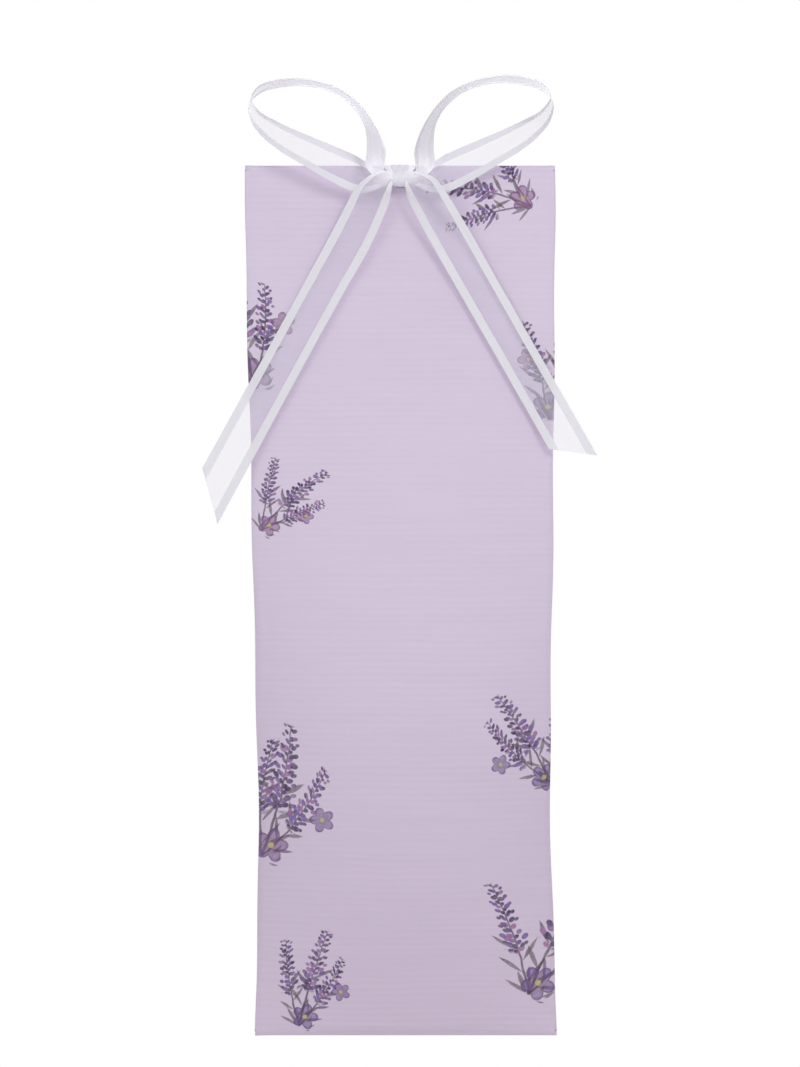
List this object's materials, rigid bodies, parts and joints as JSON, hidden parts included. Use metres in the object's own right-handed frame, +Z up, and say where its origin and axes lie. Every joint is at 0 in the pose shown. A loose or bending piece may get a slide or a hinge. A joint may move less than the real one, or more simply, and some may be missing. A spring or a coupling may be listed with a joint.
{
  "type": "lavender sachet",
  "caption": "Flat folded paper envelope filled with scented granules, with a sheer ribbon tied in a bow through a punched hole in its top edge.",
  "frame": {"origin": "middle of the punched hole near the envelope's top edge, in the middle of the inner back layer of paper", "axes": "+Z up along the envelope, +X to the right seen from the front, +Y from the front to the back"},
  "size_m": [0.1006, 0.0155, 0.2432],
  "materials": {
    "laid_paper": "matt pale lavender laid paper with a printed pattern",
    "glue": "dried translucent paper glue",
    "granules": "dry rough scented granules",
    "organza": "sheer white organza with glossy satin edges"
  },
  "bodies": {
    "envelope": {"envelope_sheet": "laid_paper", "back_seam_glue": "glue", "top_flap_glue": "glue", "bottom_flap_glue": "glue", "scented_granules": "granules", "ribbon_through_strand": "organza", "ribbon_knot": "organza"},
    "left_loop": {"left_loop": "organza"},
    "right_loop": {"right_loop": "organza"},
    "left_tail": {"left_tail": "organza"},
    "right_tail": {"right_tail": "organza"}
  },
  "joints": [
    {"name": "left_loop_fold", "type": "hinge", "parent": "envelope", "child": "left_loop", "pos_m": [-0.01152, -0.0043, -0.00133], "axis": [0.678, 0, 0.735], "range_deg": [0, 60], "stiffness_Nm_per_rad": 0.0001},
    {"name": "right_loop_fold", "type": "hinge", "parent": "envelope", "child": "right_loop", "pos_m": [0.01167, -0.0043, -0.00136], "axis": [0.6728, 0, -0.7398], "range_deg": [0, 60], "stiffness_Nm_per_rad": 0.0001},
    {"name": "left_tail_lift", "type": "hinge", "parent": "envelope", "child": "left_tail", "pos_m": [-0.0044, -0.0049, 0.0009], "axis": [-0.8771, 0, 0.4802], "range_deg": [0, 60]},
    {"name": "right_tail_lift", "type": "hinge", "parent": "envelope", "child": "right_tail", "pos_m": [0.0044, -0.0049, 0.0009], "axis": [-0.8669, 0, -0.4985], "range_deg": [0, 60]}
  ]
}
